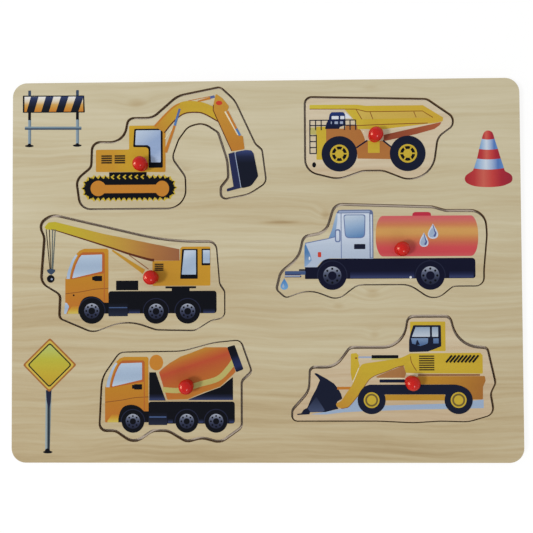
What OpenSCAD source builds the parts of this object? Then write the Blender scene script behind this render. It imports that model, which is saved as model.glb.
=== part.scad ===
// Wooden peg puzzle: a board with six vehicle pieces, each lifted out of its recess by a plastic peg.
// The origin is the middle of the board's underside, +X runs along the board and +Z is up.

/* [Board] */
// Length of the board
board_l = 300; // [290:1:360]
// Width of the board
board_w = 225; // [222:1:280]
// Corner radius of the board, seen from above
board_corner_r = 8.5; // [2:0.5:15]
// Thickness of the backing sheet
backing_t = 3; // [2:0.5:6]
// Thickness of the sheet that the frame and the pieces are cut from
sheet_t = 4; // [3:0.5:9]

/* [Cut] */
// Width of the cut between a piece and its recess
cut_gap = 1.2; // [0.6:0.1:2]
// Least gap where a loose piece lies close to one side of its recess
lie_gap = 0.3; // [0.2:0.1:0.5]

/* [Excavator] */
// Length of the excavator along the board
excavator_l = 113; // [95:1:118]
// Place of its peg along the board
excavator_x = -73; // [-76:0.5:-70]
// Place of its peg across the board
excavator_y = 63; // [60:0.5:65]

/* [Dump truck] */
// Length of the dump truck along the board
dump_truck_l = 87; // [75:1:95]
// Place of its peg along the board
dump_truck_x = 65; // [60:0.5:75]
// Place of its peg across the board
dump_truck_y = 79; // [76:0.5:84]

/* [Crane truck] */
// Length of the crane truck along the board
crane_truck_l = 110.5; // [95:0.5:115]
// Place of its peg along the board
crane_truck_x = -67; // [-70:0.5:-60]
// Place of its peg across the board
crane_truck_y = -3.5; // [-7:0.5:-1]

/* [Water tanker] */
// Length of the water tanker along the board
water_tanker_l = 123.5; // [105:0.5:130]
// Place of its peg along the board
water_tanker_x = 79.5; // [74:0.5:84]
// Place of its peg across the board
water_tanker_y = 12.5; // [10:0.5:15]

/* [Mixer truck] */
// Length of the mixer truck along the board
mixer_truck_l = 90; // [78:1:95]
// Place of its peg along the board
mixer_truck_x = -46; // [-60:0.5:-40]
// Place of its peg across the board
mixer_truck_y = -68; // [-72:0.5:-66]

/* [Wheel loader] */
// Length of the wheel loader along the board
wheel_loader_l = 118.5; // [100:0.5:124]
// Place of its peg along the board
wheel_loader_x = 85; // [80:0.5:90]
// Place of its peg across the board
wheel_loader_y = -65; // [-75:0.5:-62]

/* [Pegs] */
// Diameter of the ball that fingers grip
peg_ball_d = 8.6; // [7:0.1:12]
// Height of a peg above its piece
peg_h = 10.5; // [9:0.5:16]
// Diameter of the neck under the ball
peg_neck_d = 5; // [4:0.1:6.5]
// Diameter of the flange that sits on the piece
peg_flange_d = 7.6; // [7:0.1:12]
// Thickness of the flange at its rim
peg_flange_t = 1; // [0.6:0.1:2]
// Diameter of the shank in the piece
peg_shank_d = 4; // [2.5:0.1:4.5]
// Gap between the shank and the wall of its hole
peg_fit = 0.05; // [0.02:0.01:0.1]
// Height of the shank's end above the underside of the piece
peg_end_rise = 0.5; // [0.2:0.1:1.5]

/* [Hidden] */
$fn = 64;
// Furthest that an arc's chords stand off the arc
arc_sag = 0.04;
// Number of chords in the flare between a peg's neck and flange
flare_steps = 8;
// Overshoot of a drill through a sheet
drill_past = 1;

frame_color = [0.80, 0.72, 0.56];
backing_color = [0.72, 0.62, 0.46];
peg_color = [0.78, 0.12, 0.10];

// Cut lines, clockwise from above. Each corner is [x, y, fillet radius], measured from the peg's hole.
excavator_line = [
    [-36.5, -26, 7], [-39, -8.5, 7], [-30, -1, 5], [-29.5, 14, 5], [-10.5, 13.5, 10],
    [-8, 28, 4], [6.5, 28, 9], [21.5, 41, 14], [47, 46, 4], [55.5, 38, 16],
    [67.5, 12, 6], [71.5, 8.5, 3], [74, -11, 5], [63.5, -18, 20], [47, -21, 3],
    [47, -13.5, 3], [51.5, -8, 4], [51, 2, 25], [45.5, 19, 3], [36.5, 25, 10],
    [27.5, 22.5, 8], [22, 15, 10], [18, 4, 6], [26, -7, 6], [26.5, -26, 11]
];
dump_truck_line = [
    [-41, 23.5, 4], [31, 21.5, 5], [46, 11, 5], [46, 5.5, 5], [37, -1, 8],
    [33.5, -25.5, 15], [17.5, -25.5, 12], [5, -20.5, 12], [-7, -20.5, 12], [-21.5, -25.5, 16],
    [-41, -20.5, 9]
];
crane_truck_line = [
    [-67.5, 32, 5.5], [-59.5, 37.5, 9], [10, 21, 150], [38, 21, 5], [40, -4, 5],
    [43, -8.5, 3], [43, -24, 4], [35, -25.5, 8], [25.5, -31.5, 8], [2.5, -31, 10],
    [-15, -25, 28], [-35, -32.5, 10], [-55, -24, 3], [-54.5, -10, 4], [-66, -3, 7],
    [-64, 24, 8]
];
water_tanker_line = [
    [-73, -23.5, 3], [-70.5, -13.5, 8], [-59.5, -4.5, 15], [-57, 7.5, 4.5], [-43.5, 10, 9],
    [-38.5, 26.5, 6], [19, 24.5, 5], [26.5, 22.3, 5], [49.5, 22.2, 9], [50.5, 8, 25],
    [48.5, -12.5, 30], [48.5, -22, 5], [30.5, -22, 5], [19.5, -31, 9.5], [5, -21, 14],
    [-25.5, -21, 10], [-37, -30, 9], [-53.5, -23.5, 19], [-67.5, -28.5, 3]
];
mixer_truck_line = [
    [-52, -26, 4], [-50.5, 5, 18], [-40, 20, 6], [-3, 20.5, 30], [15.5, 25.5, 40],
    [31.5, 27, 4], [38, 8.5, 3], [32, 3, 4], [32, -24, 4], [19.5, -33, 8],
    [8.5, -30, 12], [-0.5, -32.5, 6], [-11.5, -26, 10], [-20.5, -26, 6], [-31.5, -33.5, 8],
    [-42.5, -26, 6]
];
wheel_loader_line = [
    [-69.5, -23, 3], [-69.5, -16.5, 4], [-59.5, -5.5, 12], [-59, 8.5, 3], [-44, 8.5, 12],
    [-35.5, 20, 4], [-4.5, 20, 14], [-1.5, 38, 4], [23, 38, 4], [27.5, 21, 16],
    [44.5, 19.5, 3], [49, -1, 4], [46, -7, 6], [48, -19, 5], [33, -23.5, 20],
    [17, -23, 60], [1, -24, 60], [-19, -23, 60]
];

// Each vehicle's cut line, length, place of its peg, and how it lies in its recess, as shares of its free play.
excavator = [excavator_line, excavator_l, [excavator_x, excavator_y], [0.3, -0.2]];
dump_truck = [dump_truck_line, dump_truck_l, [dump_truck_x, dump_truck_y], [0, -0.2]];
crane_truck = [crane_truck_line, crane_truck_l, [crane_truck_x, crane_truck_y], [0.5, -0.4]];
water_tanker = [water_tanker_line, water_tanker_l, [water_tanker_x, water_tanker_y], [0.2, -0.55]];
mixer_truck = [mixer_truck_line, mixer_truck_l, [mixer_truck_x, mixer_truck_y], [0, 0.6]];
wheel_loader = [wheel_loader_line, wheel_loader_l, [wheel_loader_x, wheel_loader_y], [0, -0.65]];
VEHICLES = [excavator, dump_truck, crane_truck, water_tanker, mixer_truck, wheel_loader];

board_line = [
    [-board_l / 2, -board_w / 2, board_corner_r],
    [-board_l / 2, board_w / 2, board_corner_r],
    [board_l / 2, board_w / 2, board_corner_r],
    [board_l / 2, -board_w / 2, board_corner_r]
];

function unit(v) = v / norm(v);
function left_of(v) = [-v.y, v.x];
function turned(v, angle) = [v.x * cos(angle) - v.y * sin(angle), v.x * sin(angle) + v.y * cos(angle)];
function span(line) = max([for (c = line) c.x]) - min([for (c = line) c.x]);

// Angle of one chord of an arc, so that the chord stands off the arc by no more than arc_sag
function chord_angle(r) = 2 * acos(1 - arc_sag / max(r, 2 * arc_sag));

// Points round one filleted corner at p, between its neighbours, with the whole line moved outwards by grow.
// Outwards is to the left of travel: a right turn's fillet grows with it and a left turn's shrinks.
function corner_arc(before, p, after, r, grow) =
    let (d0 = unit(p - before), d1 = unit(after - p))
    let (turn = acos(d0 * d1), side = sign(cross(d0, d1)))
    let (arc_r = r - side * grow)
    let (moved = p + grow * (left_of(d0) + left_of(d1)) / (1 + d0 * d1))
    let (start = moved - d0 * arc_r * tan(turn / 2))
    let (centre = start + side * arc_r * left_of(d0))
    let (steps = ceil(turn / chord_angle(arc_r)))
    [for (i = [0 : steps]) centre + turned(start - centre, side * turn * i / steps)];

// Outline of a filleted line drawn to scale k and moved outwards by grow
function outline(line, k, grow) =
    let (n = len(line), at = [for (c = line) k * [c.x, c.y]])
    [for (i = [0 : n - 1])
        each corner_arc(at[(i + n - 1) % n], at[i], at[(i + 1) % n], k * line[i].z, grow)];

function vehicle_outline(vehicle, grow) = outline(vehicle[0], vehicle[1] / span(vehicle[0]), grow);
function piece_place(vehicle) = vehicle[2] + (cut_gap - lie_gap) * vehicle[3];

module recess(vehicle) {
    translate(vehicle[2])
        polygon(vehicle_outline(vehicle, cut_gap / 2));
}

module piece(vehicle) {
    translate([piece_place(vehicle).x, piece_place(vehicle).y, backing_t])
        difference() {
            linear_extrude(sheet_t)
                polygon(vehicle_outline(vehicle, -cut_gap / 2));
            translate([0, 0, -drill_past])
                cylinder(d = peg_shank_d + 2 * peg_fit, h = sheet_t + 2 * drill_past);
        }
}

// Half section of the peg below its ball: shank, flange, concave flare and neck
function peg_stem_profile(ball_z) =
    let (flare = (peg_flange_d - peg_neck_d) / 2)
    [
        [0, peg_end_rise - sheet_t],
        [peg_shank_d / 2, peg_end_rise - sheet_t],
        [peg_shank_d / 2, 0],
        [peg_flange_d / 2, 0],
        for (i = [0 : flare_steps])
            [peg_flange_d / 2 - flare * sin(90 * i / flare_steps),
             peg_flange_t + flare * (1 - cos(90 * i / flare_steps))],
        [peg_neck_d / 2, ball_z],
        [0, ball_z]
    ];

module peg(vehicle) {
    ball_z = peg_h - peg_ball_d / 2;
    translate([piece_place(vehicle).x, piece_place(vehicle).y, backing_t + sheet_t]) {
        rotate_extrude()
            polygon(peg_stem_profile(ball_z));
        translate([0, 0, ball_z])
            sphere(d = peg_ball_d);
    }
}

module backing_board() {
    color(backing_color)
        linear_extrude(backing_t)
            polygon(outline(board_line, 1, 0));
}

module frame_board() {
    color(frame_color)
        translate([0, 0, backing_t])
            linear_extrude(sheet_t)
                difference() {
                    polygon(outline(board_line, 1, 0));
                    for (vehicle = VEHICLES)
                        recess(vehicle);
                }
}

module excavator_piece() {
    color(frame_color) piece(excavator);
}

module excavator_peg() {
    color(peg_color) peg(excavator);
}

module dump_truck_piece() {
    color(frame_color) piece(dump_truck);
}

module dump_truck_peg() {
    color(peg_color) peg(dump_truck);
}

module crane_truck_piece() {
    color(frame_color) piece(crane_truck);
}

module crane_truck_peg() {
    color(peg_color) peg(crane_truck);
}

module water_tanker_piece() {
    color(frame_color) piece(water_tanker);
}

module water_tanker_peg() {
    color(peg_color) peg(water_tanker);
}

module mixer_truck_piece() {
    color(frame_color) piece(mixer_truck);
}

module mixer_truck_peg() {
    color(peg_color) peg(mixer_truck);
}

module wheel_loader_piece() {
    color(frame_color) piece(wheel_loader);
}

module wheel_loader_peg() {
    color(peg_color) peg(wheel_loader);
}

backing_board();
frame_board();
excavator_piece();
excavator_peg();
dump_truck_piece();
dump_truck_peg();
crane_truck_piece();
crane_truck_peg();
water_tanker_piece();
water_tanker_peg();
mixer_truck_piece();
mixer_truck_peg();
wheel_loader_piece();
wheel_loader_peg();
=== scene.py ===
"""Looks of the wooden peg puzzle: the finish of its sheets and pegs, the printed pictures, floor, light and camera.

Drawing lengths are millimetres from the middle of the board, +X to the right and +Y up the picture.
"""
import math

import bmesh
import bpy
from mathutils import Matrix, Vector


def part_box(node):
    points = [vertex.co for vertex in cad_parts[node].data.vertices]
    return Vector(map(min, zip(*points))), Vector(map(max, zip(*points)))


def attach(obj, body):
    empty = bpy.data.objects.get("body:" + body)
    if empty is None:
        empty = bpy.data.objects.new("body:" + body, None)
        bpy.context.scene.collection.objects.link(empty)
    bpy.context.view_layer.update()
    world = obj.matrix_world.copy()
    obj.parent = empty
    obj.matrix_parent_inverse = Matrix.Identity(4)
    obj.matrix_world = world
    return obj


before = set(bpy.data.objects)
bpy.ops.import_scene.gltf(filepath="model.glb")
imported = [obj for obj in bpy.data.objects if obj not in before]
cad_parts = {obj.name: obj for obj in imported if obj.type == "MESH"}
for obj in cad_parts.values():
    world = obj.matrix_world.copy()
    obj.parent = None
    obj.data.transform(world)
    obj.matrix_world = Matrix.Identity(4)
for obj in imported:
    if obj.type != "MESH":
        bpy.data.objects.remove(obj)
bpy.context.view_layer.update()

MM = 0.001
SHEET_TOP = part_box("frame_board")[1].z / MM
INK_SUNK = 0.15
INK_LAYER = 0.012
SANDED_EDGE = 0.35
ARC_STEPS, CURVE_STEPS, ARCH_STEPS, DROP_STEPS, DISC_STEPS, BOW_STEPS = 6, 5, 30, 36, 40, 12

# Middle of each peg on the drawing; a vehicle's picture follows its piece from there
PEG_ON_DRAWING = {
    "excavator": (-72.4, 62.82),
    "dump_truck": (65.0, 78.82),
    "crane_truck": (-66.55, -3.86),
    "water_tanker": (79.68, 12.0),
    "mixer_truck": (-46.0, -67.46),
    "wheel_loader": (85.0, -65.58),
}

# Knots in the sheet: middle x and y, length, width, depth of tone
KNOTS = (
    (36.0, 32.5, 4.5, 4.5, 0.30),
    (9.5, 28.3, 17.0, 1.6, 0.44),
    (-76.0, 100.0, 8.0, 4.0, 0.28),
    (63.0, -13.5, 6.0, 4.0, 0.26),
    (64.0, -38.0, 4.0, 3.0, 0.22),
    (43.0, -21.0, 5.0, 2.6, 0.22),
    (-46.5, 60.0, 5.0, 2.4, 0.18),
    (63.0, 107.0, 8.0, 2.6, 0.16),
)

# Change of the wood's tone per millimetre: a painted fall-off of light, lighter towards the top and darker towards the
# bottom
PAINTED_FALLOFF = (-0.0001, 0.0021, 0.0)

# Screen colours of the inks; more than one is an even blend along the patch's shade
INKS = {
    "black": [(13, 15, 22)],
    "navy": [(22, 27, 46)],
    "midnight": [(17, 19, 40)],
    "tyre_edge": [(33, 37, 58)],
    "soft_navy": [(48, 57, 95)],
    "slate": [(64, 84, 124)],
    "steel": [(54, 70, 92)],
    "cable": [(92, 100, 98)],
    "blue": [(82, 92, 140), (74, 118, 172)],
    "water": [(66, 116, 172), (104, 152, 196)],
    "pale_blue": [(147, 165, 189)],
    "white": [(205, 209, 215)],
    "drop_edge": [(184, 196, 212)],
    "cream": [(212, 201, 170)],
    "pale_grey": [(146, 158, 182)],
    "brown": [(126, 76, 38)],
    "dark_brown": [(88, 46, 30)],
    "vent": [(48, 38, 27)],
    "tan_brown": [(164, 107, 57)],
    "red": [(188, 62, 46)],
    "crimson": [(176, 46, 66)],
    "orange": [(180, 114, 46)],
    "amber": [(178, 134, 48)],
    "yellow": [(188, 162, 54)],
    "khaki": [(175, 166, 100)],
    "khaki_shadow": [(106, 90, 50)],
    "track": [(183, 121, 47)],
    "digger": [(184, 134, 47), (184, 136, 47), (188, 150, 46), (186, 146, 45), (180, 126, 45)],
    "door_glass": [(180, 194, 211), (164, 180, 202), (140, 160, 193), (140, 160, 193), (168, 184, 210)],
    "boom": [(179, 128, 48), (182, 143, 50), (185, 153, 50)],
    "stick": [(184, 138, 54), (175, 115, 46)],
    "bucket": [(50, 62, 106), (30, 36, 60), (21, 25, 39), (21, 25, 39)],
    "blade": [(36, 42, 76)],
    "bed": [(190, 173, 62), (190, 162, 54), (190, 156, 57)],
    "bed_panel": [(192, 166, 80), (188, 156, 72)],
    "rust": [(156, 84, 56), (132, 66, 46)],
    "dumper_cab": [(34, 52, 106), (24, 32, 68), (20, 25, 48)],
    "jib": [(178, 165, 47), (179, 159, 50), (179, 150, 56), (174, 134, 61), (158, 107, 62), (140, 91, 63)],
    "cab": [(177, 108, 44), (178, 121, 41), (182, 129, 43)],
    "bumper": [(178, 110, 44), (188, 142, 50), (194, 172, 80)],
    "cab_shadow": [(168, 93, 46)],
    "cab_glass": [(172, 188, 205), (160, 178, 199), (152, 170, 192), (158, 176, 197), (178, 192, 209)],
    "cabin": [(180, 132, 47), (186, 138, 44)],
    "tank": [(190, 84, 86), (189, 70, 76), (191, 75, 78), (186, 94, 76), (188, 118, 75), (194, 144, 83),
            (196, 147, 85), (190, 119, 80), (190, 103, 94), (195, 89, 94)],
    "tanker_cab": [(192, 202, 216), (188, 198, 213), (172, 184, 201), (166, 178, 197)],
    "sill": [(17, 19, 40), (30, 35, 64), (50, 58, 94)],
    "truck_sill": [(13, 15, 22), (26, 31, 52), (48, 57, 92)],
    "step": [(15, 17, 25), (24, 28, 43), (33, 39, 56)],
    "cab_line": [(98, 114, 154)],
    "roof_line": [(92, 106, 140)],
    "roof": [(142, 156, 184)],
    "window": [(178, 192, 207), (136, 162, 193), (76, 117, 164)],
    "rim": [(32, 36, 54), (46, 51, 73), (84, 91, 113), (158, 164, 178)],
    "drum": [(178, 115, 47), (176, 107, 48), (173, 99, 47), (171, 93, 47), (171, 85, 48), (173, 75, 49),
            (175, 98, 48), (175, 121, 49)],
    "collar": [(14, 16, 24), (14, 16, 24), (16, 19, 32), (30, 39, 74), (34, 44, 82), (16, 19, 32)],
    "loader_arm": [(186, 158, 50), (183, 148, 50), (180, 133, 51)],
    "loader": [(189, 162, 53), (185, 156, 49)],
    "rear": [(178, 128, 45), (156, 102, 48)],
    "brace": [(158, 111, 68)],
    "bucket_fold": [(30, 36, 56), (60, 70, 98)],
    "pane": [(134, 152, 172), (178, 188, 200)],
    "low_pane": [(120, 144, 176), (74, 100, 142)],
    "warning": [(185, 114, 45), (188, 130, 54), (192, 152, 84), (206, 196, 176), (216, 214, 210)],
    "warning_navy": [(21, 24, 31), (22, 26, 37), (33, 40, 63), (50, 61, 98)],
    "post": [(142, 158, 170), (118, 137, 150), (66, 82, 98)],
    "pole": [(150, 163, 164), (140, 154, 158), (40, 49, 58), (36, 45, 54), (132, 146, 150)],
    "cone": [(158, 42, 50), (172, 56, 58), (190, 92, 80), (182, 64, 62), (156, 42, 54), (142, 40, 54)],
    "cone_band": [(96, 142, 188), (150, 174, 202), (188, 200, 213), (150, 168, 198), (78, 112, 172), (90, 130, 184)],
    "sign_rim": [(156, 100, 50)],
    "sign_yellow": [(194, 168, 74)],
    "sign_line": [(46, 50, 30)],
    "sign": [(182, 150, 50), (180, 160, 54), (174, 170, 62), (170, 182, 102)],
}


# Node helpers

def linear(colour):
    """A screen colour, 0 to 255, as the light values that a shader takes."""
    parts = [c / 255 for c in colour]
    return [c / 12.92 if c <= 0.04045 else ((c + 0.055) / 1.055) ** 2.4 for c in parts] + [1.0]


def feed(tree, socket, value):
    """Links an output to a socket, or sets the socket's own value."""
    if isinstance(value, bpy.types.NodeSocket):
        tree.links.new(value, socket)
    else:
        socket.default_value = value


def node(tree, kind, inputs=None, **settings):
    """A node with its settings and its inputs, named or numbered, filled in."""
    made = tree.nodes.new(kind)
    for name, value in settings.items():
        setattr(made, name, value)
    for key, value in (inputs or {}).items():
        feed(tree, made.inputs[key], value)
    return made


def scalar(tree, operation, *values):
    """Output of one step of arithmetic."""
    return node(tree, "ShaderNodeMath", dict(enumerate(values)), operation=operation).outputs[0]


def vector(tree, operation, *values):
    """Output of one step of vector arithmetic; a distance or a dot product comes out as a number."""
    made = node(tree, "ShaderNodeVectorMath", dict(enumerate(values)), operation=operation)
    return made.outputs["Value" if operation in ("DISTANCE", "DOT_PRODUCT") else "Vector"]


def noise(tree, place, stretch, detail=2.0):
    """Soft noise over a place in millimetres, drawn out by stretch."""
    drawn = vector(tree, "MULTIPLY", place, stretch)
    return node(tree, "ShaderNodeTexNoise", {"Vector": drawn, "Scale": 1.0, "Detail": detail}).outputs[0]


def span(tree, value, low, high, to_low=0.0, to_high=1.0, kind="LINEAR"):
    """A value carried from one range to another and held at its ends."""
    sockets = {"Value": value, "From Min": low, "From Max": high, "To Min": to_low, "To Max": to_high}
    return node(tree, "ShaderNodeMapRange", sockets, interpolation_type=kind).outputs["Result"]


def blend(tree, factor, first, second):
    """Two colours mixed by a factor."""
    return node(tree, "ShaderNodeMix", {0: factor, 6: first, 7: second}, data_type="RGBA").outputs[2]


def ramp(tree, value, colours):
    """An even blend through screen colours, by a value from 0 to 1."""
    made = node(tree, "ShaderNodeValToRGB", {"Fac": value})
    points = made.color_ramp.elements
    points.remove(points[-1])
    points[0].position, points[0].color = 0, linear(colours[0])
    for i, colour in enumerate(colours[1:], 1):
        points.new(i / (len(colours) - 1)).color = linear(colour)
    return made.outputs["Color"]


def millimetres(tree):
    """Place on the piece in millimetres."""
    place = node(tree, "ShaderNodeTexCoord").outputs["Object"]
    return vector(tree, "MULTIPLY", place, (1 / MM,) * 3)


def new_group(name, inputs, outputs):
    """An empty shader group with named sockets, its given values and the sockets that take its results."""
    tree = bpy.data.node_groups.new(name, "ShaderNodeTree")
    for label, kind, default in inputs:
        tree.interface.new_socket(label, in_out="INPUT", socket_type=kind).default_value = default
    for label, kind in outputs:
        tree.interface.new_socket(label, in_out="OUTPUT", socket_type=kind)
    return tree, tree.nodes.new("NodeGroupInput").outputs, tree.nodes.new("NodeGroupOutput").inputs


def placed(tree, group, inputs=None):
    """Outputs of a shader group placed in a tree."""
    return node(tree, "ShaderNodeGroup", inputs, node_tree=group).outputs


NUMBER, COLOUR = "NodeSocketFloat", "NodeSocketColor"


# Shader groups

def wood_grain_group():
    """Grain along X from broad bands, streaks and flecks, bent and darkened round the knots, with a painted fall-off of
    light towards the bottom.
    """
    tree, given, out = new_group(
        "Wood grain", [("Contrast", NUMBER, 1.0)], [("Tone", NUMBER), ("Height", NUMBER)])
    place = millimetres(tree)
    sway = span(tree, noise(tree, place, (0.011, 0.025, 0.025)), 0, 1, -7, 7)
    dark = 0.0
    for x, y, length, width, depth in KNOTS:
        scaled = vector(tree, "MULTIPLY", place, (1 / length, 1 / width, 0.02))
        away = vector(tree, "DISTANCE", scaled, (x / length, y / width, 0.15))
        dark = scalar(tree, "ADD", dark, span(tree, away, 0.1, 1.0, depth, 0, "SMOOTHSTEP"))
        sway = scalar(tree, "ADD", sway, span(tree, away, 0, 2.4, 0.9 * width, 0, "SMOOTHSTEP"))
    shift = node(tree, "ShaderNodeCombineXYZ", {"Y": sway}).outputs[0]
    place = vector(tree, "ADD", place, shift)
    bands = scalar(tree, "SUBTRACT", noise(tree, place, (0.005, 0.07, 0.07), 2.0), 0.5)
    streaks = scalar(tree, "SUBTRACT", noise(tree, place, (0.014, 0.4, 0.4), 2.0), 0.5)
    flecks = scalar(tree, "SUBTRACT", noise(tree, place, (0.16, 3.2, 3.2)), 0.5)
    tone = scalar(tree, "MULTIPLY", bands, 0.75)
    tone = scalar(tree, "MULTIPLY_ADD", streaks, 0.62, tone)
    tone = scalar(tree, "MULTIPLY_ADD", flecks, 0.2, tone)
    tone = scalar(tree, "SUBTRACT", tone, dark)
    # painted fall-off of light: the tone drops towards the bottom of the board
    tone = scalar(tree, "ADD", tone, vector(tree, "DOT_PRODUCT", place, PAINTED_FALLOFF))
    tone = scalar(tree, "MULTIPLY_ADD", tone, given["Contrast"], 0.53)
    feed(tree, out["Tone"], tone)
    feed(tree, out["Height"], scalar(tree, "MULTIPLY_ADD", flecks, 0.6, streaks))
    return tree


def sawn_edge_group():
    """Where a wall stands upright, and the upright marks that the saw left on it."""
    tree, given, out = new_group(
        "Sawn edge", [("Sharpness", NUMBER, 0.35)], [("Mask", NUMBER), ("Tone", NUMBER)])
    normal = node(tree, "ShaderNodeNewGeometry").outputs["Normal"]
    rise = node(tree, "ShaderNodeSeparateXYZ", {0: normal}).outputs["Z"]
    flat = scalar(tree, "ABSOLUTE", rise)
    feed(tree, out["Mask"], span(tree, flat, given["Sharpness"], 0.92, 1, 0))
    place = millimetres(tree)
    marks = noise(tree, place, (1.7, 1.7, 0.12))
    soot = noise(tree, place, (0.12, 0.12, 0.4))
    feed(tree, out["Tone"], scalar(tree, "MULTIPLY_ADD", soot, 0.8, scalar(tree, "MULTIPLY", marks, 0.2)))
    return tree


def ink_group(grain):
    """Ink soaked into the sheet: the grain shows through, and with it the painted fall-off of light, with a fine
    speckle.
    """
    tree, given, out = new_group(
        "Ink on wood", [("Ink", COLOUR, (0.5, 0.5, 0.5, 1))],
        [("Color", COLOUR), ("Roughness", NUMBER), ("Height", NUMBER)])
    wood = placed(tree, grain)
    speckle = noise(tree, millimetres(tree), (1.9, 2.6, 2.6))
    # the grain's tone also carries the painted fall-off of light towards the bottom
    grain_and_falloff = scalar(tree, "MULTIPLY_ADD", wood["Tone"], 0.12, 0.94)
    grain_and_falloff = scalar(tree, "MULTIPLY", grain_and_falloff, span(tree, speckle, 0.25, 0.75, 0.955, 1.045))
    inked = node(tree, "ShaderNodeHueSaturation", {"Value": grain_and_falloff, "Color": given["Ink"]})
    feed(tree, out["Color"], inked.outputs["Color"])
    feed(tree, out["Roughness"], span(tree, wood["Tone"], 0.1, 0.9, 0.62, 0.5))
    feed(tree, out["Height"], wood["Height"])
    return tree


WOOD_GRAIN = wood_grain_group()
SAWN_EDGE = sawn_edge_group()
INK_ON_WOOD = ink_group(WOOD_GRAIN)


# Materials

def new_material(name):
    """A material with its shader; returns the material, its tree and the shader."""
    made = bpy.data.materials.new(name)
    made.use_nodes = True
    return made, made.node_tree, made.node_tree.nodes["Principled BSDF"]


def bump(tree, shader, height, strength, depth):
    """Relief from a height, depth in millimetres."""
    made = node(tree, "ShaderNodeBump", {"Height": height, "Strength": strength, "Distance": depth * MM})
    feed(tree, shader.inputs["Normal"], made.outputs[0])


def wood(name, face, wall, contrast=1.0, layers=None):
    """Sanded sheet wood with its sawn walls; layers are the tones of the plies on the board's own rim."""
    made, tree, shader = new_material(name)
    grain = placed(tree, WOOD_GRAIN, {"Contrast": contrast})
    sawn = placed(tree, SAWN_EDGE)
    place = millimetres(tree)
    colour = ramp(tree, grain["Tone"], face)
    colour = blend(tree, sawn["Mask"], colour, ramp(tree, sawn["Tone"], wall))
    if layers:
        x, y, z = node(tree, "ShaderNodeSeparateXYZ", {0: place}).outputs
        low, high = [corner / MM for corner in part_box("frame_board")]
        out = scalar(tree, "MAXIMUM",
                     span(tree, scalar(tree, "ABSOLUTE", x), high.x - 0.9, high.x - 0.5),
                     span(tree, scalar(tree, "ABSOLUTE", y), high.y - 0.9, high.y - 0.5))
        out = scalar(tree, "MULTIPLY", out, sawn["Mask"])
        ply = scalar(tree, "MULTIPLY_ADD", noise(tree, place, (0.05, 0.05, 1.1)), 0.35, -0.17)
        ply = scalar(tree, "ADD", ply, span(tree, z, low.z, high.z))
        colour = blend(tree, out, colour, ramp(tree, ply, layers))
    feed(tree, shader.inputs["Base Color"], colour)
    feed(tree, shader.inputs["Roughness"], span(tree, grain["Tone"], 0.1, 0.9, 0.66, 0.5))
    shader.inputs["Specular IOR Level"].default_value = 0.22
    bump(tree, shader, grain["Height"], 0.35, 0.05)
    return made


def peg_plastic():
    """Smooth red moulded plastic, faintly mottled, with the scuffs of small hands."""
    made, tree, shader = new_material("peg_red_plastic")
    place = millimetres(tree)
    mottle = noise(tree, place, (0.35, 0.35, 0.35), 3.0)
    scuff = noise(tree, place, (1.4, 1.4, 0.5), 4.0)
    feed(tree, shader.inputs["Base Color"], ramp(tree, mottle, [(180, 16, 10), (187, 19, 11), (194, 23, 13)]))
    feed(tree, shader.inputs["Roughness"], span(tree, scuff, 0.3, 0.75, 0.2, 0.28))
    shader.inputs["Specular IOR Level"].default_value = 0.3
    bump(tree, shader, scuff, 0.06, 0.02)
    return made


ink_made = {}


def ink(name):
    """The material of one ink, made when it is first used."""
    if name not in ink_made:
        made, tree, shader = new_material(name + "_ink")
        shade = node(tree, "ShaderNodeAttribute", attribute_name="shade").outputs["Fac"]
        soaked = placed(tree, INK_ON_WOOD, {"Ink": ramp(tree, shade, INKS[name])})
        feed(tree, shader.inputs["Base Color"], soaked["Color"])
        feed(tree, shader.inputs["Roughness"], soaked["Roughness"])
        shader.inputs["Specular IOR Level"].default_value = 0.05
        bump(tree, shader, soaked["Height"], 0.3, 0.04)
        ink_made[name] = made
    return ink_made[name]


# Outlines on the drawing

def rounded(corners, r=0.0):
    """Outline through corners (x, y) or (x, y, own radius), each eased by its radius."""
    out = []
    for i, corner in enumerate(corners):
        here = Vector(corner[:2])
        back = Vector(corners[i - 1][:2]) - here
        ahead = Vector(corners[(i + 1) % len(corners)][:2]) - here
        radius = corner[2] if len(corner) > 2 else r
        if radius <= 0:
            out.append(here)
            continue
        reach = radius / max(math.tan(back.angle(ahead) / 2), 0.05)
        reach = min(reach, 0.49 * back.length, 0.49 * ahead.length)
        start, end = here + back.normalized() * reach, here + ahead.normalized() * reach
        for k in range(ARC_STEPS + 1):
            t = k / ARC_STEPS
            out.append(start * (1 - t) ** 2 + here * (2 * t * (1 - t)) + end * t ** 2)
    return out


def block(x0, y0, x1, y1, r=0.0):
    """A rectangle with eased corners."""
    return rounded([(x0, y0), (x1, y0), (x1, y1), (x0, y1)], r)


def barrel(x0, y0, x1, y1, rx, ry):
    """A rectangle whose corners are quarter ovals."""
    out = []
    for cx, cy, start in ((x1 - rx, y1 - ry, 0), (x0 + rx, y1 - ry, 90),
                          (x0 + rx, y0 + ry, 180), (x1 - rx, y0 + ry, 270)):
        for k in range(2 * ARC_STEPS + 1):
            a = math.radians(start + 90 * k / (2 * ARC_STEPS))
            out.append(Vector((cx + rx * math.cos(a), cy + ry * math.sin(a))))
    return out


def disc(x, y, rx, ry=None):
    """A circle, or an oval with two radii."""
    ry = rx if ry is None else ry
    turns = [2 * math.pi * k / DISC_STEPS for k in range(DISC_STEPS)]
    return [Vector((x + rx * math.cos(a), y + ry * math.sin(a))) for a in turns]


def arch(x, y, r, base):
    """The part of a circle that stands over a level base."""
    low = math.asin(max(-1.0, min(1.0, (base - y) / r)))
    turns = [low + (math.pi - 2 * low) * k / ARCH_STEPS for k in range(ARCH_STEPS + 1)]
    return [Vector((x + r * math.cos(a), y + r * math.sin(a))) for a in turns]


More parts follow.
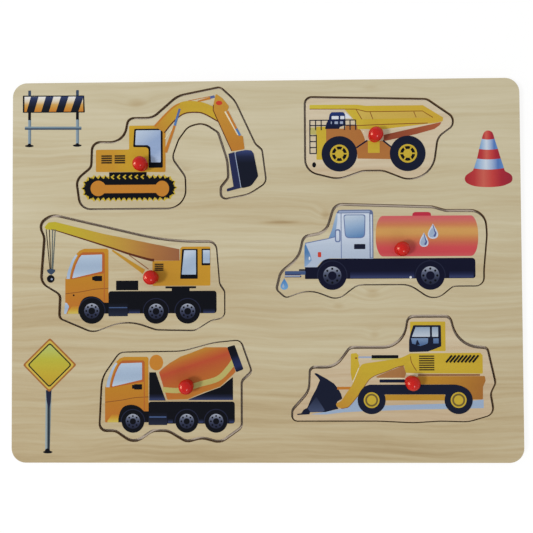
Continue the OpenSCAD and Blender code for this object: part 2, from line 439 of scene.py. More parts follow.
def curve(points):
    """A smooth line through points."""
    ends = [Vector(p) for p in points]
    ends = [2 * ends[0] - ends[1]] + ends + [2 * ends[-1] - ends[-2]]
    out = []
    for a, b, c, d in zip(ends, ends[1:], ends[2:], ends[3:]):
        for k in range(CURVE_STEPS):
            t = k / CURVE_STEPS
            out.append(0.5 * (2 * b + (c - a) * t + (2 * a - 5 * b + 4 * c - d) * t ** 2
                              + (3 * b - a - 3 * c + d) * t ** 3))
    return out + [ends[-2]]


def stroke(points, width, end_width=None):
    """A line of ink along points, which may taper."""
    points = [Vector(p) for p in points]
    last = len(points) - 1
    left, right = [], []
    for i, here in enumerate(points):
        along = (points[min(i + 1, last)] - points[max(i - 1, 0)]).normalized()
        half = 0.5 * (width + ((end_width or width) - width) * i / last)
        side = Vector((-along.y, along.x)) * half
        left.append(here + side)
        right.append(here - side)
    return left + right[::-1]


def drop(x, y, width, height):
    """A drop of water that points up."""
    turns = [2 * math.pi * k / DROP_STEPS for k in range(DROP_STEPS)]
    return [Vector((x + 0.65 * width * math.sin(a) * math.sin(a / 2) ** 1.6,
                    y + 0.5 * height * math.cos(a))) for a in turns]


def across(x0, x1):
    """A shade that runs from one x to another."""
    return (x0, 0), (x1, 0)


def upright(y0, y1):
    """A shade that runs from one y to another."""
    return (0, y0), (0, y1)


def ink_height(level):
    """Height of a layer of ink in millimetres."""
    return SHEET_TOP + INK_LAYER * level


def peg_shift(vehicle):
    """How far a vehicle's peg is from its place on the drawing."""
    low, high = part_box(vehicle + "_peg")
    middle = (low + high) / 2 / MM
    return Vector((middle.x, middle.y)) - Vector(PEG_ON_DRAWING[vehicle])


def settle(piece, body):
    """Puts a finished piece of print on its body."""
    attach(piece, body)


class Print:
    """One printed picture: thin closed patches of ink, each over the patches that it overlaps."""

    def __init__(self, name, body):
        self.name, self.body = name, body
        self.shift = peg_shift(body) if body in PEG_ON_DRAWING else Vector((0, 0))
        self.mesh = bmesh.new()
        self.shade = self.mesh.verts.layers.float.new("shade")
        self.inks, self.laid = [], []

    def add(self, ink_name, outline, shade=None):
        """Lays a patch; shade is the two points between which its ink goes through its blend."""
        if sum(a.cross(b) for a, b in zip(outline, outline[1:] + outline[:1])) < 0:
            outline = outline[::-1]
        xs, ys = [p.x for p in outline], [p.y for p in outline]
        box = (min(xs), min(ys), max(xs), max(ys))
        under = [n for b, n in self.laid if b[0] < box[2] and b[2] > box[0] and b[1] < box[3] and b[3] > box[1]]
        level = 1 + max(under, default=0)
        self.laid.append((box, level))
        if ink_name not in self.inks:
            self.inks.append(ink_name)
        rings = []
        for height in (SHEET_TOP - INK_SUNK, ink_height(level)):
            ring = []
            for p in outline:
                spot = self.mesh.verts.new(((p.x + self.shift.x) * MM, (p.y + self.shift.y) * MM, height * MM))
                if shade:
                    start, end = Vector(shade[0]), Vector(shade[1])
                    spot[self.shade] = (p - start).dot(end - start) / (end - start).length_squared
                ring.append(spot)
            rings.append(ring)
        low, high = rings
        faces = [self.mesh.faces.new(high), self.mesh.faces.new(low[::-1])]
        for i in range(len(high)):
            faces.append(self.mesh.faces.new((low[i - 1], low[i], high[i], high[i - 1])))
        for face in faces:
            face.material_index = self.inks.index(ink_name)

    def wheel(self, x, y, tyre, rim, hub, base, rubber="black"):
        """A tyre with a bright rim and a dark hub, and its edge over the chassis down to a base."""
        self.add("tyre_edge", arch(x, y, tyre + 0.5, base))
        self.add(rubber, disc(x, y, tyre))
        self.add("rim", disc(x, y, rim), upright(y - rim, y + rim))
        self.add(rubber, disc(x, y, hub))

    def top(self):
        """The first layer over all that is laid."""
        return 1 + max(level for box, level in self.laid)

    def thickness(self):
        """Thickness in metres of a mark that reaches over all that is laid."""
        return (ink_height(self.top()) - SHEET_TOP + INK_SUNK) * MM

    def finish(self):
        """Turns the patches into one piece on its body."""
        self.mesh.normal_update()
        bmesh.ops.triangulate(self.mesh, faces=self.mesh.faces[:])
        mesh = bpy.data.meshes.new(self.name)
        self.mesh.to_mesh(mesh)
        self.mesh.free()
        for name in self.inks:
            mesh.materials.append(ink(name))
        piece = bpy.data.objects.new(self.name, mesh)
        bpy.context.scene.collection.objects.link(piece)
        settle(piece, self.body)


# Geometry trees for marks that repeat

def new_tree(name, inputs):
    """An empty geometry tree with named inputs; returns it, its given values and its result."""
    tree = bpy.data.node_groups.new(name, "GeometryNodeTree")
    tree.interface.new_socket("Geometry", in_out="OUTPUT", socket_type="NodeSocketGeometry")
    tree.interface.new_socket("Places", in_out="INPUT", socket_type="NodeSocketGeometry")
    for label, kind in inputs:
        tree.interface.new_socket(label, in_out="INPUT", socket_type=kind)
    tree.interface.new_socket("Ink", in_out="INPUT", socket_type="NodeSocketMaterial")
    return tree, tree.nodes.new("NodeGroupInput").outputs, tree.nodes.new("NodeGroupOutput").inputs


def inked_at_places(tree, given, out, shape):
    """Ends a tree: one copy of the shape at each place, made real and inked."""
    copies = node(tree, "GeometryNodeInstanceOnPoints", {"Points": given["Places"], "Instance": shape}).outputs[0]
    real = node(tree, "GeometryNodeRealizeInstances", {0: copies}).outputs[0]
    inked = node(tree, "GeometryNodeSetMaterial", {"Geometry": real, "Material": given["Ink"]}).outputs[0]
    feed(tree, out["Geometry"], inked)
    return tree


def row_of_bars_tree():
    """Bars in a straight row from each place: louvres, slots, rails, rungs and stripes."""
    tree, given, out = new_tree("Row of bars", [
        ("Count", "NodeSocketInt"), ("Step", "NodeSocketVector"),
        ("Bar size", "NodeSocketVector"), ("Bar turn", "NodeSocketVector")])
    bar = node(tree, "GeometryNodeMeshCube", {"Size": given["Bar size"]}).outputs[0]
    bar = node(tree, "GeometryNodeTransform", {"Geometry": bar, "Rotation": given["Bar turn"]}).outputs[0]
    line = node(tree, "GeometryNodeMeshLine", {"Count": given["Count"], "Offset": given["Step"]}).outputs[0]
    row = node(tree, "GeometryNodeInstanceOnPoints", {"Points": line, "Instance": bar}).outputs[0]
    return inked_at_places(tree, given, out, row)


def ring_of_marks_tree():
    """Oval marks round a centre at each place: wheel bolts and hub slots."""
    tree, given, out = new_tree("Ring of marks", [
        ("Count", "NodeSocketInt"), ("Ring radius", "NodeSocketFloat"), ("Mark size", "NodeSocketVector")])
    mark = node(tree, "GeometryNodeMeshCylinder", {"Vertices": 12, "Radius": 0.5, "Depth": 1.0}).outputs[0]
    mark = node(tree, "GeometryNodeTransform", {"Geometry": mark, "Scale": given["Mark size"]}).outputs[0]
    ring = node(tree, "GeometryNodeMeshCircle", {"Vertices": given["Count"], "Radius": given["Ring radius"]}).outputs[0]
    step = scalar(tree, "DIVIDE", 2 * math.pi, given["Count"])
    turn = scalar(tree, "MULTIPLY", node(tree, "GeometryNodeInputIndex").outputs[0], step)
    turn = node(tree, "ShaderNodeCombineXYZ", {"Z": turn}).outputs[0]
    turn = node(tree, "FunctionNodeEulerToRotation", {0: turn}).outputs[0]
    row = node(tree, "GeometryNodeInstanceOnPoints", {"Points": ring, "Instance": mark, "Rotation": turn}).outputs[0]
    return inked_at_places(tree, given, out, row)


def track_teeth_tree():
    """Pointed teeth round the outside of a crawler track centred on each place."""
    tree, given, out = new_tree("Track teeth", [
        ("Count", "NodeSocketInt"), ("Track length", "NodeSocketFloat"),
        ("Track height", "NodeSocketFloat"), ("Tooth size", "NodeSocketVector")])
    tooth = node(tree, "GeometryNodeMeshCylinder", {"Vertices": 3, "Radius": 0.67, "Depth": 1.0}).outputs[0]
    tooth = node(tree, "GeometryNodeTransform", {"Geometry": tooth, "Scale": given["Tooth size"]}).outputs[0]
    loop = node(tree, "GeometryNodeCurvePrimitiveQuadrilateral",
                {"Width": given["Track length"], "Height": given["Track height"]}).outputs[0]
    end = scalar(tree, "MULTIPLY", given["Track height"], 0.499)
    loop = node(tree, "GeometryNodeFilletCurve", {"Curve": loop, "Radius": end, "Count": 10}, mode="POLY").outputs[0]
    points = node(tree, "GeometryNodeCurveToPoints", {"Curve": loop, "Count": given["Count"]}, mode="COUNT")
    turn = node(tree, "FunctionNodeAlignRotationToVector", {"Vector": points.outputs["Normal"]},
                axis="X", pivot_axis="Z").outputs[0]
    row = node(tree, "GeometryNodeInstanceOnPoints",
               {"Points": points.outputs["Points"], "Instance": tooth, "Rotation": turn}).outputs[0]
    return inked_at_places(tree, given, out, row)


ROW_OF_BARS = row_of_bars_tree()
RING_OF_MARKS = ring_of_marks_tree()
TRACK_TEETH = track_teeth_tree()


def marks(name, art, tree, ink_name, places, sizes):
    """Marks of one ink over a picture from a geometry tree, at places on the drawing; sizes in metres."""
    middle = 0.5 * (ink_height(art.top()) + SHEET_TOP - INK_SUNK)
    mesh = bpy.data.meshes.new(name)
    spots = [Vector((x + art.shift.x, y + art.shift.y, middle)) * MM for x, y in places]
    mesh.from_pydata(spots, [], [])
    piece = bpy.data.objects.new(name, mesh)
    bpy.context.scene.collection.objects.link(piece)
    maker = piece.modifiers.new(tree.name, "NODES")
    maker.node_group = tree
    sockets = {s.name: s.identifier for s in tree.interface.items_tree if s.in_out == "INPUT"}
    for label, value in sizes.items():
        maker[sockets[label]] = value
    maker[sockets["Ink"]] = ink(ink_name)
    solid = bpy.data.meshes.new_from_object(piece.evaluated_get(bpy.context.evaluated_depsgraph_get()))
    piece.modifiers.remove(maker)
    piece.data = solid
    bpy.data.meshes.remove(mesh)
    solid.name = name
    xs, ys = [[v.co[i] / MM - art.shift[i] for v in solid.vertices] for i in (0, 1)]
    art.laid.append(((min(xs), min(ys), max(xs), max(ys)), art.top()))
    settle(piece, art.body)


def bars(name, art, ink_name, places, count, step, length, width, turn=0.0):
    """A row of straight bars from each place."""
    marks(name, art, ROW_OF_BARS, ink_name, places, {
        "Count": count, "Step": (step[0] * MM, step[1] * MM, 0.0),
        "Bar size": (length * MM, width * MM, art.thickness()), "Bar turn": (0.0, 0.0, math.radians(turn))})


def ring(name, art, ink_name, places, count, radius, length, width):
    """A ring of oval marks round each place."""
    marks(name, art, RING_OF_MARKS, ink_name, places, {
        "Count": count, "Ring radius": radius * MM, "Mark size": (length * MM, width * MM, art.thickness())})


# Printed pictures

def print_excavator():
    """Crawler excavator: track, cab, bent boom, stick and bucket."""
    art = Print("excavator_print", "excavator")
    lay = art.add
    lay("yellow", block(-107.2, 42.3, -52.8, 56.2, 6.9))
    for name, ink_name, length, height, size in (("excavator_track_grips", "yellow", 53.8, 12.6, (2.6, 4)),
            ("excavator_track_teeth", "black", 52.4, 11.2, (2.8, 2.9))):
        marks(name, art, TRACK_TEETH, ink_name, [(-80, 49.3)], {
            "Count": 38, "Track length": length * MM, "Track height": height * MM,
            "Tooth size": (size[0] * MM, size[1] * MM, art.thickness())})
    lay("black", block(-106.2, 43.7, -53.8, 54.9, 5.5))
    lay("track", block(-98.4, 46.3, -60.4, 51.2))
    lay("track", disc(-98.4, 49.2, 4.6))
    lay("track", disc(-60.4, 48.8, 4.2, 4.7))
    lay("black", block(-91.9, 54.1, -69.6, 58.7))
    lay("digger", rounded([(-99.8, 59), (-58.3, 58.6), (-58.3, 84.2, 2), (-60.4, 86.4), (-80, 86.4), (-80, 72.2),
            (-99.8, 72.2)], 0.8), across(-100, -58))
    lay("black", rounded([(-76.9, 84.5), (-60, 84.5), (-59.9, 61.2), (-68.4, 61.2), (-68.4, 72.6, 2), (-70, 73.5),
            (-77.6, 73.6)], 0.8))
    lay("door_glass", rounded([(-75.9, 83.6), (-61.2, 83.6), (-61.1, 64.4), (-67, 64.4), (-67.3, 73.6, 2),
            (-69, 74.7), (-76.4, 74.8)], 0.5), ((-76, 84), (-62, 65)))
    upper = curve([(-65.2, 86.2), (-59.9, 92), (-54.4, 97.2), (-50.3, 99.6), (-45.7, 100.8), (-39.9, 100.6),
            (-35.2, 99.6), (-29.6, 97.2)])
    lower = curve([(-59, 82), (-54.5, 87.5), (-50.2, 91.5), (-46, 93.6), (-39.9, 94), (-35.2, 93), (-27.2, 88.5)])
    lay("boom", upper + lower[::-1], ((-62, 84), (-44, 97)))
    lay("orange", stroke([p + Vector((0.4, -0.4)) for p in upper[:3 * CURVE_STEPS + 1]], 1.2, 0.7))
    lay("dark_brown", stroke(lower, 0.7))
    lay("orange", stroke([(-44.7, 100.9), (-32, 103.3)], 0.4))
    lay("orange", stroke([(-39.1, 100.5), (-31.5, 102.4)], 0.8, 1.4))
    lay("blue", stroke([(-31.7, 102.7), (-29.1, 103.3)], 1.5))
    lay("cream", stroke([(-53.7, 84.9), (-58.6, 78.3)], 0.5))
    lay("orange", stroke([(-52.8, 86.2), (-58.3, 70.3)], 1.3, 2))
    lay("blue", stroke([(-49.8, 96.2), (-52.8, 86.2)], 1.3), ((-50, 96), (-52.8, 86)))
    lay("stick", rounded([(-28.3, 104.9), (-24.6, 102.4), (-20.7, 97.6), (-20.8, 96.3), (-21.7, 94.6), (-23.4, 94.4),
            (-15.7, 80.2), (-13.5, 79.9), (-12.3, 79.4), (-11.4, 71.8), (-19, 70.5), (-27, 88.5), (-29.9, 95.1),
            (-29.8, 98.3)], 0.6), upright(104, 71))
    lay("dark_brown", stroke([(-29.8, 98.3), (-29.9, 95.1), (-27, 88.5), (-19, 70.7)], 0.5))
    lay("cream", stroke([(-22.9, 94.3), (-15.2, 80.3)], 0.9))
    lay("orange", stroke([(-21.6, 94.5), (-16.2, 83.8)], 1.3))
    lay("blue", stroke([(-16.3, 84), (-14, 79.9)], 1.3), upright(88, 80))
    lay("red", disc(-26.4, 99.4, 1.9, 1.3))
    lay("bucket", rounded([(-16.9, 70.2), (-10.8, 71.3), (-7.4, 71), (-6, 69), (-3.4, 55.7), (-7.6, 49.8, 5),
            (-13.5, 48.6)], 1.2), upright(71, 60))
    lay("blade", rounded([(-21, 69.1), (-17.2, 70.2), (-13.6, 48.8), (-21.9, 46.7), (-22, 48.3), (-18, 49.6)], 0.3))
    lay("pale_grey", stroke([(-17.2, 70), (-13.6, 49)], 0.42))
    art.finish()
    bars("excavator_vent_slots", art, "vent", [(-93.4, 64.4), (-85.5, 64.4)], 4, (0, 1.33), 6.2, 0.85)
    bars("excavator_upper_chevrons", art, "yellow", [(-89.8, 56.4)], 6, (3.55, 0), 2.2, 0.75, 36)
    bars("excavator_lower_chevrons", art, "yellow", [(-89.8, 55.3)], 6, (3.55, 0), 2, 0.75, -36)


def print_dump_truck():
    """Tall dump truck: bed, blue cab, railing, ladder and two big wheels."""
    art = Print("dump_truck_print", "dump_truck")
    lay = art.add
    lay("tan_brown", rounded([(36.4, 83.4), (47.5, 83.4), (48, 85.2), (54.3, 85.2), (56.9, 82.4), (58.3, 79.8),
            (59.3, 76.8), (59.3, 68), (36.4, 68)], 0.5))
    lay("tan_brown", rounded([(54.8, 72.2), (60.4, 76.2), (70.3, 75.9), (74.5, 72.2), (74.2, 65.1), (54.8, 65.6)],
            0.3))
    lay("khaki", block(27, 80, 31, 84.2, 0.8))
    lay("yellow", block(30.7, 65.1, 36.5, 84.7, 0.6))
    lay("rust", rounded([(70.3, 79.5), (104.4, 86.8), (103.3, 85), (100.2, 82.7), (89.6, 79.8), (74.7, 76.6),
            (70.3, 75.8)], 0.4), across(102, 72))
    lay("bed", rounded([(26.8, 97.7), (54.8, 97.5), (59.8, 96.8), (93.5, 96.8), (105.3, 89.4), (105, 87.2),
            (100.8, 86.3), (77.2, 83.7), (71, 82.9), (55.2, 83), (54.2, 86.5), (52.3, 89.3), (47.4, 94.9),
            (26.8, 95.3)], 0.5), across(28, 104))
    lay("bed_panel", rounded([(54.6, 94.4), (60.4, 93), (93, 93.1), (98.6, 89.4), (57.8, 88.8)], 0.3), across(54, 98))
    lay("brown", stroke([(26.8, 95.2), (54.2, 94.9), (60.4, 93.3), (93.2, 93.4), (99.3, 89.5)], 0.42))
    for top, low in (((54.2, 94.8), (57.6, 88.8)), ((62.4, 93.2), (64.1, 88.8)), ((88.1, 93.1), (89.5, 89.6))):
        lay("brown", stroke([top, low], 0.4))
    lay("brown", stroke([(53.8, 85.1), (71, 85.7), (96.2, 86.2)], 0.5))
    for y in (88.5, 85.4):
        lay("navy", stroke([(26.6, y), (53.9, y)], 0.6))
    for x, top in ((26.9, 88.5), (30.7, 80)):
        lay("navy", stroke([(x, 68.5), (x, top)], 0.6))
    lay("white", rounded([(47.6, 93.3), (51.8, 89.5), (47.9, 89.4)], 0.2))
    lay("dumper_cab", rounded([(35.8, 83.3), (36.8, 86.9), (38.1, 88.9), (38.6, 91.9), (39.8, 93.2), (46.7, 93.2),
            (47.7, 91.8), (48, 85.5), (44.5, 84.4), (44.2, 83.3)], 0.5), upright(93, 83.5))
    for x0, x1 in ((39.8, 43.9), (44.9, 47.3)):
        lay("white", block(x0, 89, x1, 90.9, 0.3))
    for x, width in ((39.3, 0.6), (41.5, 2), (44.7, 1.8)):
        lay("pale_grey", block(x, 86.2, x + width, 87.7, 0.2))
    lay("yellow", block(61, 68.9, 67.9, 76.1))
    lay("navy", stroke([(54.2, 72), (60.7, 76.3)], 0.9))
    lay("navy", stroke([(69.8, 76.2), (75, 72)], 0.9))
    lay("black", disc(29.3, 62.1, 1.15, 1.55))
    hubs = [(44.2, 68.5), (84.3, 68.4)]
    for x, y in hubs:
        lay("navy", disc(x, y, 10.5))
        lay("yellow", disc(x, y, 5.5))
        lay("black", disc(x, y, 4.35))
        lay("yellow", disc(x, y, 2.6))
    art.finish()
    bars("dump_truck_rail_posts", art, "navy", [(27, 85.6), (47.3, 85.6)], 3, (3.3, 0), 0.6, 6)
    bars("dump_truck_ladder_rungs", art, "navy", [(28.9, 68.8)], 4, (0, 3.53), 3.9, 0.6)
    ring("dump_truck_hub_spokes", art, "yellow", hubs, 6, 3.5, 2.8, 0.9)


def print_cab(art, x, y, wheel):
    """Forward-control cab over its front wheel, with its front bottom corner at x, y."""
    lay = art.add

    def at(*points):
        """Points of the cab, moved to where it stands."""
        return [(x + p[0], y + p[1], *p[2:]) for p in points]

    lay("cab", rounded(at((0, 0), (0, 20.4), (6.6, 35.4), (8.6, 37.4), (11.2, 38.4), (24.9, 38.4), (25.7, 37.4),
            (25.7, 0)), 0.6), upright(y + 2, y + 36))
    lay("bumper", rounded(at((0.8, 0), (8.2, 0), (8, 4.8), (4.2, 4.8)), 0.8), upright(y + 5, y + 0.6))
    lay("cab_shadow", rounded(at((2.9, 20.2), (4.9, 28), (8.4, 34.9), (10.3, 36.3), (22.8, 36.3), (23.2, 35.4),
            (23.2, 23.8)), 0.8))
    lay("cab_glass", rounded(at((4.1, 20.9), (4.9, 24.4), (6.4, 29), (8.2, 32.8), (9.6, 34.6), (21.9, 35),
            (21.9, 25)), 0.5), upright(y + 35, y + 21))
    outer = curve(at((0.6, 20.6), (1.4, 24.6), (2.9, 28.9), (4.4, 32.4), (6.6, 35.2)))
    inner = curve(at((2.6, 20.6), (3.2, 24.1), (4.4, 28.5), (5.8, 32), (7.3, 34.5)))
    lay("cab_glass", outer + inner[::-1], upright(y + 34, y + 18))
    lay("black", block(x + 17.3, y + 19.2, x + 21.9, y + 22.3, 0.3))
    lay("black", block(x + 16, y + 19.7, x + 17.6, y + 21.9, 0.3))
    lay("brown", stroke(curve(at((0.1, 11.8), (9.8, 13), (17.4, 14.4), (25.7, 14.9))), 0.4))
    lay("cab_shadow", stroke(at((23.2, 35.4), (23.2, 7)), 0.5))
    front, back = [[Vector(p) for p in at(*ends)] for ends in (((7.9, 0), (7.9, 2)), ((25.8, 6.4), (25.8, 0)))]
    wing = curve(at((8.2, 3.8), (9.2, 6.8), (11.2, 9.2), (14.1, 10.2), (17.2, 10.1), (20.3, 8.9), (23, 6.5)))
    lay("black", front + wing + back)
    art.wheel(*wheel, y)


def print_crane_truck():
    """Mobile crane: telescopic boom over a truck with three wheels."""
    art = Print("crane_truck_print", "crane_truck")
    lay = art.add
    lay("black", block(-92.6, -25, -28.6, -11.8, 1.9))
    for x in (-80.7, -36.5):
        lay("truck_sill", block(x, -24.9, x + 6.8, -22.2, 0.4), upright(-22.2, -24.8))
    lay("black", block(-88.1, -11.3, -74.9, -5.6, 0.3))
    print_cab(art, -118.3, -25, (-102.5, -23.4, 7.6, 4.5, 2))
    lay("cab_glass", rounded([(-118.4, -18.4), (-117.2, -18.7), (-116, -20.8), (-117.7, -25.2), (-119, -25)], 0.3),
            upright(-26, -18))
    lay("black", disc(-113.3, -14.1, 0.55))
    lay("step", block(-92.6, -26.6, -81.1, -18.9, 0.5), upright(-18.9, -26))
    lay("slate", block(-92.2, -21.8, -81.5, -21.2))
    lay("black", block(-55.1, -12.2, -44.5, -10))
    lay("black", block(-58.8, -10.3, -40.7, -9.1))
    lay("cabin", rounded([(-66.5, -8.8), (-66.5, 5.9), (-50.2, 6.1), (-50, 13.2), (-48.9, 14.3), (-32.2, 14.3),
            (-32.2, -8.8)], 0.8), across(-66, -34))
    lay("black", rounded([(-48.9, 12.9), (-39.7, 12.9), (-39.7, -4.7), (-50.1, -4.7)], 0.4))
    lay("cab_glass", rounded([(-47.7, 12.2), (-40.7, 12.2), (-40.7, -2.2), (-49.2, -2.2)], 0.4), ((-40, -4),
            (-47, 10)))
    lay("black", block(-37.4, 3.2, -32.3, 13, 0.4))
    lay("cab_glass", block(-36.6, 4.5, -32.5, 12.2, 0.3), upright(2, 12))
    lay("amber", stroke([(-90.4, 12.4), (-71.5, -0.5)], 1, 2.9))
    lay("brown", stroke([(-80.3, 9.5), (-68.8, 1.1)], 0.5))
    low = curve([(-130, 25.1), (-125.4, 24.4), (-114.9, 21.2), (-91.8, 13.8), (-80.3, 9.9), (-68.8, 6.6),
            (-65.5, 6.1)])
    lay("jib", rounded([(-131.1, 26, 0.6), (-128.5, 29.1, 1), (-124.6, 29.5, 1), (-95.7, 22.2), (-76.5, 18.2),
            (-50.5, 12.8), (-50.5, 6.1)]) + low[::-1], across(-130, -50))
    lay("dark_brown", stroke([p + Vector((0, 0.3)) for p in low[4:]], 0.4, 1.7))
    for top, end, width, name in ((-129.8, -127.5, 0.5, "vent"), (-127.9, -126.9, 0.5, "vent"),
            (-126, -126.2, 0.6, "cable"), (-124.4, -125.8, 0.6, "cable")):
        lay(name, stroke([(top, 25), (end, 1.4)], width))
    lay("steel", rounded([(-129.5, 1), (-126.8, 1.7), (-124.1, 1), (-124.9, -0.6), (-126.8, -2), (-128.7, -0.6)],
            0.6))
    lay("black", disc(-127, -4.3, 2.3))
    lay("pale_grey", disc(-126.4, -4.5, 0.6))
    for x in (-64.4, -45.7):
        art.wheel(x, -23.8, 7.3, 4.5, 2, -25)
    art.finish()
    bars("crane_truck_vent_slots", art, "vent", [(-62.6, 0.5)], 4, (0, 1.15), 5.2, 0.8)
    ring("crane_truck_wheel_bolts", art, "black", [(-102.5, -23.4), (-64.4, -23.8), (-45.7, -23.8)],
            8, 3.25, 1.2, 1.2)


def print_water_tanker():
    """Water tanker: pale bonneted cab, round tank with drops, front sprayer."""
    art = Print("water_tanker_print", "water_tanker")
    lay = art.add
    lay("midnight", rounded([(31, -5.2), (31, 2), (35, 6.7), (123.1, 6.7, 2.2), (123.1, -5.2, 1.8)], 1.4))
    for x0, x1 in ((50, 87.5), (107.8, 122)):
        lay("sill", block(x0, -4.9, x1, -0.8, 0.4), upright(-0.8, -4.4))
    lay("midnight", block(23.5, -5.2, 31.6, 1.9, 0.5))
    lay("slate", block(11.7, -2.7, 23.8, -0.5, 0.3))
    lay("soft_navy", block(11.7, -2.9, 21, -2.2, 0.2))
    lay("navy", block(20, -0.4, 23.8, 0.6))
    lay("soft_navy", block(11.5, -4.2, 21.3, -3.2, 0.2))
    lay("pale_grey", block(11.5, -3.8, 20.6, -3.1, 0.2))
    arch_line = curve([(38.3, 6.9), (35.4, 6.2), (33, 4.8), (31.3, 2.9), (30.6, 1.7)])
    lay("tanker_cab", rounded([(23.4, 1.7), (23.2, 11.5), (23.8, 15.9, 0.8), (37.5, 18.6), (39.5, 23.5), (42.1, 33.3),
            (43.3, 35), (45.5, 35.3), (63.6, 35.3, 2.6), (63.6, 6.6)], 0.4) + arch_line, upright(26, 8))
    lay("roof_line", rounded([(42.1, 33.3), (43.3, 35.1), (45.5, 35.4), (63.7, 35.4, 2.4), (63.7, 28), (61.5, 28),
            (61.5, 33.3)], 0.3))
    lay("roof", block(43.6, 33.7, 61.8, 34.8, 0.4))
    lay("window", rounded([(37.4, 18.5), (41.3, 19.5), (42, 24.4), (42.7, 29.2), (42.8, 33.2), (42, 33),
            (39.4, 23.3)], 0.3), ((43, 40), (40, 14)))
    lay("cab_line", stroke([(23.6, 15.8), (37.4, 18.5), (41.3, 19.5)], 0.5))
    lay("cab_line", stroke([(44.9, 33.3), (44.9, 6.8)], 0.45))
    lay("roof_line", block(61.5, 6.8, 63.7, 32.6, 0.3))
    lay("tanker_cab", block(62.1, 7.2, 63.1, 32.6, 0.3), upright(26, 8))
    lay("cab_line", rounded([(46.3, 32.6, 1.5), (59.2, 32.6, 1.5), (58.9, 18.6, 3), (47.1, 18.6, 3)]))
    lay("window", rounded([(46.8, 32.1, 1.4), (58.7, 32.1, 1.4), (58.3, 19.1, 2.7), (47.6, 19.1, 2.7)]), ((50, 32),
            (53, 18)))
    lay("cab_line", block(41.2, 16.3, 44.5, 24, 1.5))
    lay("tanker_cab", block(41.9, 17, 43.8, 23.2, 0.9), upright(24, 12))
    lay("navy", block(52.4, 12.2, 59, 15.2, 0.4))
    lay("red", block(31.1, 7.6, 33.1, 10.6, 0.5))
    lay("window", rounded([(23.2, 1.7), (23.3, 14), (23.8, 15.8), (26.6, 9.4), (27.5, 5.8), (24.9, 2.9)], 0.3),
            ((27, -6), (23, 10)))
    lay("white", disc(26.2, 6.9, 0.5, 1))
    lay("crimson", rounded([(86.6, 31), (97.7, 31), (97.4, 33.2, 1), (96, 33.8), (88, 33.8), (86.8, 33, 1)], 0.3))
    lay("tank", barrel(65.1, 7.8, 124.9, 31.6, 4.3, 11), upright(7.8, 31.6))
    for x, tip, low, width in ((98.6, 27, 18, 6.7), (93.3, 21.9, 13.3, 5.8)):
        height, middle = tip - low, (tip + low) / 2
        lay("drop_edge", drop(x, middle, width, height))
        lay("pale_blue", drop(x - 0.4, middle - 0.7, 0.66 * width, 0.68 * height))
        lay("blue", stroke(curve([(x, tip - 0.9), (x + 0.16 * width, middle), (x + 0.24 * width, low + 0.36 * height),
                (x + 0.1 * width, low + 0.14 * height)]), 0.4, 1.3))
    lay("water", drop(11.3, -8, 5, 6.8), upright(-5, -11))
    lay("pale_blue", drop(10.7, -9, 1.6, 2.6))
    hubs = [(39.5, -3.3), (96.8, -3.5)]
    for x, y in hubs:
        art.wheel(x, y, 8.4, 5.35, 2.5, -5.2, "midnight")
    lay("white", disc(85.3, -4.5, 0.7))
    art.finish()
    ring("water_tanker_wheel_bolts", art, "black", hubs, 8, 4.05, 1.35, 1.35)


def print_mixer_truck():
    """Concrete mixer: cab, slanted drum with a pale stripe, three wheels."""
    art = Print("mixer_truck_print", "mixer_truck")
    lay = art.add
    lay("black", block(-69, -89.7, -18.1, -76.8, 1.9))
    for x in (-56, -38, -20):
        lay("truck_sill", block(x - 1.5, -89.2, x + 1.5, -86.8, 0.5), upright(-86.8, -88.9))
    print_cab(art, -94.6, -88.9, (-78.1, -88.3, 6.7, 4.3, 1.8))
    lay("step", block(-68.9, -90.5, -57.9, -83.1, 0.5), upright(-83.1, -90))
    lay("slate", block(-68.4, -86.2, -58.4, -85.4))
    lay("track", disc(-64.3, -53.9, 4.1, 4.6))
    for corners in ([(-68.5, -59.6), (-64.6, -59.6), (-58.7, -76.2), (-68.5, -76.2)], [(-19.1, -62.4), (-19.1, -75.9),
            (-46.1, -75.9), (-36, -71.8), (-26.6, -68.4)]):
        lay("black", rounded(corners, 0.3))
    for corners in ([(-68.4, -72.2), (-60.3, -72.2), (-59, -76), (-68.4, -76)], [(-19.2, -72.2), (-19.2, -75.9),
            (-45.8, -75.9), (-37, -72.2)]):
        lay("truck_sill", rounded(corners, 0.2), upright(-72.2, -75.6))
    lay("drum", rounded([(-62.7, -59.6), (-60.5, -57.4), (-56.8, -54.5), (-49.9, -50.4), (-43.6, -48.2), (-35.4, -45),
            (-22.5, -45), (-17.5, -59.4), (-19.1, -61.1), (-26.6, -68), (-36, -71.3), (-46.1, -75.4), (-57.8, -75.7)],
            0.8), ((-38, -72), (-45.5, -49.2)))
    lay("khaki", stroke(curve([(-60.4, -69.8), (-50.5, -70.2), (-39.2, -66.8), (-27.9, -63.4), (-21.6, -57.4),
            (-18.4, -53)]), 3.1, 3.3))
    lay("collar", rounded([(-22.5, -45), (-18.1, -43.7), (-12.9, -58), (-17.2, -59.7)], 0.8), ((-20.4, -44),
            (-15.3, -59)))
    hubs = [(-46.4, -88.3), (-29.1, -88.3)]
    for x, y in hubs:
        art.wheel(x, y, 6.7, 4.3, 1.8, -89.7)
    art.finish()
    ring("mixer_truck_wheel_bolts", art, "black", [(-78.1, -88.3)] + hubs, 8, 3.1, 1.1, 1.1)


